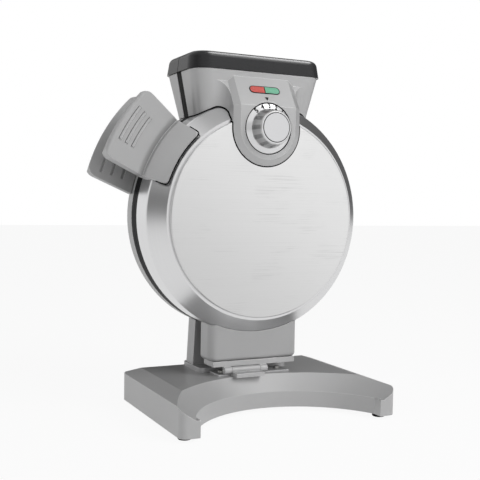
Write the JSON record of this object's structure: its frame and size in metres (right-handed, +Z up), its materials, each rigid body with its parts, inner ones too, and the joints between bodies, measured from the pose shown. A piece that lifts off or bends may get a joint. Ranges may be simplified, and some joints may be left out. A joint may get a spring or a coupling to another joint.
{
  "type": "vertical waffle maker",
  "caption": "Upright round waffle maker whose front half tilts forward on a hinge, with a batter hopper on top, a dial, indicator lights, side handles and an arched base.",
  "frame": {"origin": "on the surface that the feet stand on, below the axis of the round shells, in the parting plane", "axes": "+Z up, -Y towards the front with the disc and the dial, +X to the right seen from the front"},
  "size_m": [0.2787, 0.1737, 0.3598],
  "materials": {
    "silver_plastic": "satin moulded silver-grey",
    "black_gloss": "polished black",
    "black_plastic": "fine moulded black",
    "brushed_steel": "brushed from side to side",
    "dial_silver": "satin silver paint",
    "dial_face": "satin",
    "coated_aluminium": "dark non-stick coating on cast aluminium",
    "heater_sheath": "heat-darkened steel",
    "reflector_sheet": "bright rolled sheet",
    "steel": "zinc-plated",
    "rubber": "moulded",
    "red_lens": "clear tinted",
    "green_lens": "clear tinted",
    "circuit_board": "solder mask",
    "lamp_white": "moulded epoxy",
    "phenolic": "moulded phenolic",
    "fuse_body": "drawn"
  },
  "bodies": {
    "stand": {"base_cover": "silver_plastic", "base_plate": "black_plastic", "rubber_feet": "rubber", "foot_screws": "steel", "cord_gland": "black_plastic", "terminal_block": "phenolic", "rear_column": "silver_plastic", "column_screws": "steel", "hinge_bracket": "silver_plastic", "hinge_screws": "steel", "hinge_pin": "steel", "rear_shell": "silver_plastic", "rear_frame": "black_plastic", "latch_spring": "steel", "rear_cooking_plate": "coated_aluminium", "rear_heater": "heater_sheath", "rear_reflector": "reflector_sheet", "rear_reflector_screws": "steel", "thermal_fuse": "fuse_body", "rear_hopper": "silver_plastic", "rear_chute": "black_plastic", "rear_rim": "black_gloss", "rear_handle": "silver_plastic"},
    "door": {"front_shell": "silver_plastic", "front_disc": "brushed_steel", "front_frame": "black_plastic", "latch_tongue": "steel", "front_cooking_plate": "coated_aluminium", "front_heater": "heater_sheath", "front_reflector": "reflector_sheet", "front_reflector_screws": "steel", "control_housing": "silver_plastic", "red_lens": "red_lens", "green_lens": "green_lens", "indicator_board": "circuit_board", "indicator_lamps": "lamp_white", "buzzer": "black_plastic", "thermostat": "phenolic", "thermostat_nut": "steel", "front_chute": "black_plastic", "front_rim": "black_gloss", "front_handle": "silver_plastic", "front_neck": "silver_plastic", "hinge_leaf": "silver_plastic", "leaf_screws": "steel"},
    "dial": {"dial_knob": "dial_silver", "knob_face": "dial_face", "dial_shaft": "steel"}
  },
  "joints": [
    {"name": "door_hinge", "type": "hinge", "parent": "stand", "child": "door", "pos_m": [0, -0.038, 0.0426], "axis": [1, 0, 0], "range_deg": [0, 90]},
    {"name": "dial_turn", "type": "hinge", "parent": "door", "child": "dial", "pos_m": [0, -0.06, 0.285], "axis": [0, 1, 0], "range_deg": [-40, 40]}
  ]
}
